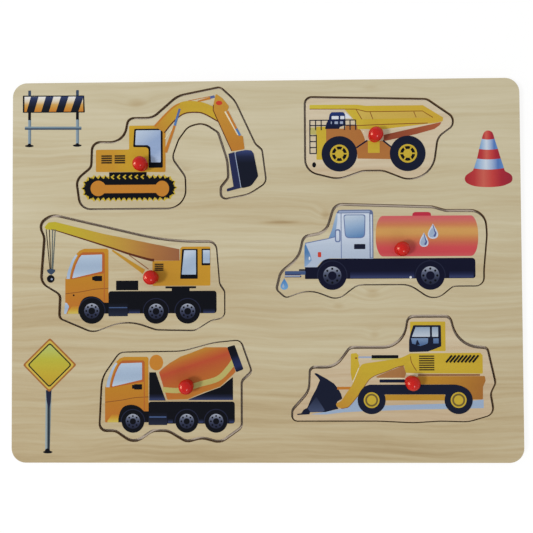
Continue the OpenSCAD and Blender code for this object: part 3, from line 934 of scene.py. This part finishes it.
def print_wheel_loader():
    """Wheel loader: bucket, lift arms, cab and two wheels."""
    art = Print("wheel_loader_print", "wheel_loader")
    lay = art.add
    lay("pale_blue", rounded([(25.9, -84.4), (35.4, -84.4), (45, -83.2), (56, -82.6), (86.2, -81.6), (104.3, -81.3),
            (126.9, -80.8), (126.9, -75.8), (104.3, -78.2), (70, -79.2), (54, -74), (47, -80.6), (40.5, -81.8),
            (32, -83.3)], 0.2))
    lay("navy", rounded([(28.4, -60.5), (29.8, -60.3), (35.9, -63.7), (39.9, -66.3), (42.3, -69.2), (44.1, -72.4),
            (44.8, -75.2), (42, -76.9), (41.2, -78.7), (42.6, -81.2), (40.4, -81.6), (34.9, -83), (25.9, -83.1),
            (25.6, -84.3), (18.4, -84.7), (18.5, -84), (20.8, -83.7), (22.3, -81.5), (24.3, -80.6), (26.9, -74.5),
            (29.6, -69.7), (31.8, -64.4), (30.7, -62.9)], 0.4))
    lay("bucket_fold", rounded([(29.6, -74), (34.6, -82), (33, -82.9), (26, -82.9), (24.6, -80.8)], 0.4),
            upright(-74, -82))
    lay("orange", block(41.9, -69.9, 50.2, -68.3))
    lay("loader", rounded([(50, -49), (53.2, -48.6), (54.5, -50), (54.3, -53), (55.1, -56), (51.8, -64.2),
            (50.6, -64.9), (49.8, -60.2)], 0.8), upright(-49, -64))
    lay("brown", disc(53.1, -51.6, 0.65, 0.5))
    lay("pale_grey", block(54.4, -51.6, 62.3, -50.6))
    lay("khaki", block(62.1, -52.8, 77.7, -51.5))
    lay("black", block(62.1, -51.8, 77.7, -49.9, 0.3))
    lay("rear", rounded([(88.6, -62.2), (127.7, -62.2), (128.2, -64.8), (126.6, -68.6), (126.5, -75.8), (108, -75.8),
            (108, -67), (88.6, -67)], 0.6), ((100, -62), (126, -72)))
    lay("loader", rounded([(84.4, -48.9), (125.3, -48.7), (126.6, -50.2), (126.6, -60.8), (82, -60.5), (80.9, -56)],
            0.7), across(86, 126))
    lay("cream", rounded([(82, -60.3), (88.9, -60.5), (88.9, -61.9), (82.3, -61.3)], 0.2))
    lay("brown", block(89.1, -62, 124.9, -61.1))
    lay("brace", rounded([(64.4, -62.5), (72.9, -58.9), (80.6, -56), (82.1, -60.5), (81.3, -63.1), (65.4, -63.1)],
            0.3))
    lay("cream", block(66.3, -64.1, 81.4, -63.2))
    lay("navy", block(66.6, -65.9, 81.4, -64, 0.5))
    upper = curve([(55, -57), (56.8, -55.2), (60.3, -54.4), (65.6, -53.7), (75.6, -52.2), (80.3, -51), (84.6, -49)])
    lower = curve([(80.8, -56), (76.6, -57), (70.8, -59.4), (65, -61.4), (61.9, -63.1), (59.7, -65.2), (55.2, -71.9),
            (49.2, -79.3), (46.5, -80.6), (44.1, -80.8), (41.7, -79.8), (41.4, -78), (44.4, -76.2), (47, -72.4),
            (50.7, -67.1), (52.5, -63)])
    lay("loader_arm", upper + [Vector((84.6, -52.4))] + lower, ((60, -60), (44, -79)))
    lay("brown", stroke(lower[:9 * CURVE_STEPS + 1], 0.35))
    lay("cream", stroke([(54.6, -57.4), (51.1, -65.6)], 0.5))
    lay("brown", stroke(curve([(84.7, -50.6), (85.4, -54.4), (88.2, -59.2)]), 0.4))
    lay("navy", curve([(54, -74.5), (55, -71.5), (57.6, -68.4), (60.8, -67.1)]) + curve([(110.6, -67.1),
            (114.8, -68.2), (118.2, -71), (120.6, -75.6)]) + [Vector((104, -72.8)), Vector((70, -72.8))])
    lay("amber", block(69.8, -76.3, 104.4, -72.9, 0.3))
    lay("loader", block(84.7, -47.6, 105.2, -30.4, 0.6), across(85, 105))
    lay("navy", rounded([(86.6, -32.5), (102.6, -32.5), (102.7, -44.9), (98.9, -46.4), (94.9, -47.9), (83.9, -48.2),
            (84, -41.2), (85, -37)], 0.8))
    lay("pane", rounded([(87.9, -33.6), (96.2, -33.6), (96.2, -39.3), (85.7, -39.3)], 0.3), upright(-33.6, -39.3))
    lay("pane", block(97.4, -39.3, 101, -33.6, 0.3), upright(-33.6, -39.3))
    lay("low_pane", rounded([(85.2, -40.1), (95.1, -40.1), (95, -43.2, 1.5), (90.6, -44.7), (85.8, -43.2)], 0.3),
            upright(-39, -44))
    lay("low_pane", block(98.1, -43.2, 101.2, -40.2, 0.3), upright(-36, -43))
    lay("navy", rounded([(87.7, -44), (88.7, -40.6), (90.4, -44)], 0.4))
    hubs = [(61.9, -76.1), (112.4, -76.1)]
    for x, y in hubs:
        lay("navy", disc(x, y, 8.15))
        lay("yellow", disc(x, y, 4.6))
        lay("khaki_shadow", disc(x, y, 3.75))
        lay("yellow", disc(x, y, 2.7))
    art.finish()
    bars("wheel_loader_vent_slots", art, "vent", [(94.1, -58.5)], 7, (0, 1.32), 8.8, 0.68)
    bars("wheel_loader_side_stripes", art, "black", [(107.1, -52.2)], 8, (2.2, 0), 5.3, 1.1, 50)


def print_barricade():
    """Road barricade with slanted warning stripes."""
    art = Print("barricade_print", "board")
    lay = art.add
    for x in (-140, -111.3):
        lay("post", block(x - 0.8, 75.6, x + 1, 91), across(x - 1, x + 1.4))
        lay("black", block(x - 0.8, 90.4, x + 0.9, 95.2))
        lay("steel", block(x - 0.8, 104.6, x + 0.9, 108.1, 0.5))
        lay("black", disc(x, 74.9, 2.6, 0.75))
        lay("black", disc(x, 75.3, 1.1, 1))
    lay("post", rounded([(-142.8, 84.6), (-108.8, 84.3), (-108.8, 86.2), (-142.8, 86.5)], 0.5), upright(88, 84))
    lay("steel", rounded([(-142.8, 84.6), (-109, 84.3), (-109, 85.1), (-142.8, 85.5)], 0.3))
    lay("black", rounded([(-144, 94.8), (-106.8, 94.6), (-107.2, 104.8), (-144, 105.1)], 0.3))
    lay("warning", rounded([(-143, 95.3), (-107.7, 95.2), (-107.9, 104.2), (-143, 104.4)], 0.1), upright(95, 104))
    for i in range(4):
        low, top = -141.8 + 8.85 * i, -139.2 + 9.03 * i
        lay("warning_navy", rounded([(low, 95.2), (low + 4.6, 95.2), (top + 4.6, 104.3), (top, 104.3)]),
                upright(95, 104.4))
    art.finish()


def print_cone():
    """Traffic cone with two pale bands."""
    art = Print("cone_print", "board")
    lay = art.add

    def bowed(left, right, y, sag):
        """A line from left to right that hangs by its sag."""
        parts = [k / BOW_STEPS for k in range(BOW_STEPS + 1)]
        return [Vector((left + (right - left) * t, y - sag * math.sin(math.pi * t))) for t in parts]

    foot = curve([(140.3, 59.6), (141.1, 57.5), (143.4, 56.2), (144.8, 54.9), (145.3, 53.1), (144.7, 51.2),
            (142.6, 49.9), (139.9, 48.9), (136.1, 48.3), (130.8, 48.1), (126.5, 48.3), (122.6, 48.9), (119.6, 50.1),
            (118.1, 51.3), (117.5, 53.1), (118.2, 55), (120.2, 56.6), (122.2, 57.9), (123, 59.6)])
    lay("cone", foot, across(118, 144))
    cuts = [(127.7, 135.1, 76.6), (126.1, 137, 70.6), (124.8, 138.6, 64.9), (122.9, 140.4, 59.2)]
    for i, name in enumerate(("cone_band", "cone", "cone_band")):
        top, low = cuts[i], cuts[i + 1]
        lay(name, bowed(*top, 0.5) + bowed(*low, 0.8)[::-1], across(low[0], low[1]))
    cap = curve([(127.7, 76.6), (128.4, 78.9), (129.4, 80.7), (131.4, 81.5), (133.5, 80.7), (134.5, 78.9),
            (135.1, 76.6)])
    lay("cone", cap + bowed(*cuts[0], 0.5)[-2:0:-1], across(127, 135))
    art.finish()


def print_sign():
    """Blank diamond warning sign on a pole."""
    art = Print("sign_print", "board")
    lay = art.add
    lay("pole", rounded([(-129.8, -70), (-126.3, -70), (-127.3, -105), (-130.1, -105)]), across(-130, -126.8))
    lay("tyre_edge", rounded([(-129.7, -70), (-126.4, -70), (-126.8, -77), (-127.9, -82), (-129.3, -76)], 0.3))
    lay("black", disc(-128.5, -106.3, 2.8, 0.8))
    lay("black", disc(-128.7, -105.6, 1.5, 1.4))
    for name, reach, r in (("sign_rim", 16, 1.2), ("sign_yellow", 14.7, 1.2), ("sign_line", 13.3, 1.6),
            ("sign", 12.2, 1.2)):
        lay(name, rounded([(-127.4, -55.2 + reach), (-127.5 + reach, -55.1), (-127.7, -55.2 - reach),
                (-127.5 - reach, -55.1)], r), upright(-67, -44))
    art.finish()


print_excavator()
print_dump_truck()
print_crane_truck()
print_water_tanker()
print_mixer_truck()
print_wheel_loader()
print_barricade()
print_cone()
print_sign()


# Finishes of the sheets and pegs

FACE = [(158, 136, 98), (180, 163, 128), (192, 181, 150), (202, 193, 166)]
PINK_FACE = [(164, 138, 106), (186, 165, 134), (197, 182, 154), (206, 194, 170)]
WALL = [(112, 88, 62), (140, 114, 84), (166, 142, 110)]
PLIES = [(180, 150, 106), (188, 160, 118), (156, 118, 80), (160, 124, 84), (190, 164, 122), (184, 156, 112)]
FLOOR_FACE = [(206, 190, 172), (220, 206, 190), (228, 216, 202)]

frame_wood = wood("frame_wood_finish", FACE, WALL, layers=PLIES)
piece_wood = wood("piece_wood_finish", FACE, WALL)
pink_piece_wood = wood("pink_piece_wood_finish", PINK_FACE, WALL)
backing_wood = wood("backing_wood_finish", FLOOR_FACE, WALL)
peg_red = peg_plastic()


def eased(piece, width):
    """Joins a sheet's loose faces and sands its sharp edges."""
    weld = piece.modifiers.new("Joined", "WELD")
    weld.merge_threshold = 0.002 * MM
    sand = piece.modifiers.new("Sanded", "BEVEL")
    sand.width = width * MM
    sand.segments = 2
    sand.limit_method = "ANGLE"
    sand.angle_limit = math.radians(60)
    sand.use_clamp_overlap = True


def finish_node(name, material, width=0.0):
    """Gives a solid from the frame its finish and its sanded edge."""
    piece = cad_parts[name]
    for slot in piece.material_slots:
        slot.material = material
    if width:
        eased(piece, width)


finish_node("frame_board", frame_wood, SANDED_EDGE)
finish_node("backing_board", backing_wood, SANDED_EDGE)
for vehicle in PEG_ON_DRAWING:
    pink = vehicle in ("dump_truck", "wheel_loader")
    finish_node(vehicle + "_piece", pink_piece_wood if pink else piece_wood, SANDED_EDGE)
    finish_node(vehicle + "_peg", peg_red)


# Floor, light and camera

FLOOR_REACH = 3
FLOOR_GLOW = 0.86
ROOM_LIGHT = 0.58
CAMERA_HEIGHT = 411.8
CAMERA_ROLL = math.radians(-0.29)
SENSOR = 36
LENS_TO_WIDTH = 700 / 533


def make_floor():
    """A plain white table that stays white beside the board."""
    mesh = bpy.data.meshes.new("floor")
    corners = [(x * FLOOR_REACH, y * FLOOR_REACH, 0) for x, y in ((-1, -1), (1, -1), (1, 1), (-1, 1))]
    mesh.from_pydata(corners, [], [(0, 1, 2, 3)])
    floor = bpy.data.objects.new("floor", mesh)
    bpy.context.scene.collection.objects.link(floor)
    made, tree, shader = new_material("table_white")
    cloud = noise(tree, millimetres(tree), (0.004,) * 3)
    feed(tree, shader.inputs["Base Color"], ramp(tree, cloud, [(104, 104, 104), (108, 108, 108)]))
    shader.inputs["Roughness"].default_value = 0.9
    shader.inputs["Specular IOR Level"].default_value = 0.0
    shader.inputs["Emission Color"].default_value = (1, 1, 1, 1)
    shader.inputs["Emission Strength"].default_value = FLOOR_GLOW
    mesh.materials.append(made)


def make_lamp(name, place, size, power, gleam=None):
    """A soft square lamp turned to the middle of the board: plain light, or only a gleam of a colour."""
    lamp = bpy.data.lights.new(name, "AREA")
    lamp.shape = "SQUARE"
    lamp.size = size
    lamp.energy = power
    made = bpy.data.objects.new(name, lamp)
    made.location = place
    made.rotation_euler = (-Vector(place)).to_track_quat("-Z", "Y").to_euler()
    made.visible_diffuse, made.visible_glossy = not gleam, bool(gleam)
    if gleam:
        lamp.color = gleam
    bpy.context.scene.collection.objects.link(made)


def make_camera():
    """The camera, above the board and a little to its lower right."""
    place = Vector((10.1, -7.8, SHEET_TOP + CAMERA_HEIGHT)) * MM
    aim = Vector((0.9, 2.3, SHEET_TOP)) * MM
    lens = bpy.data.cameras.new("camera")
    lens.sensor_width = SENSOR
    lens.lens = SENSOR * LENS_TO_WIDTH
    lens.clip_start, lens.clip_end = 0.01, 20
    back = (place - aim).normalized()
    right = Vector((0, 1, 0)).cross(back).normalized()
    up = back.cross(right)
    made = bpy.data.objects.new("camera", lens)
    turn = Matrix((right, up, back)).transposed() @ Matrix.Rotation(CAMERA_ROLL, 3, "Z")
    made.matrix_world = Matrix.Translation(place) @ turn.to_4x4()
    bpy.context.scene.collection.objects.link(made)
    bpy.context.scene.camera = made


make_floor()
world = bpy.data.worlds.new("soft_room")
world.use_nodes = True
world.node_tree.nodes["Background"].inputs["Color"].default_value = (1, 1, 1, 1)
world.node_tree.nodes["Background"].inputs["Strength"].default_value = ROOM_LIGHT
bpy.context.scene.world = world
make_lamp("window_light", (-2.2, -0.74, 3.5), 0.7, 79)
make_lamp("side_window", (-1.7, 0.02, 0.62), 0.5, 4)
make_lamp("side_gleam", (-1.7, 0.02, 0.45), 0.8, 30, (1, 0.9, 0.62))
make_lamp("front_lamp", (0.32, -0.8, 0.85), 0.06, 0.7)
make_lamp("front_gleam", (0.32, -0.8, 0.85), 0.06, 3.6, (1, 0.97, 0.9))
make_camera()
bpy.context.scene.view_settings.view_transform = "Standard"
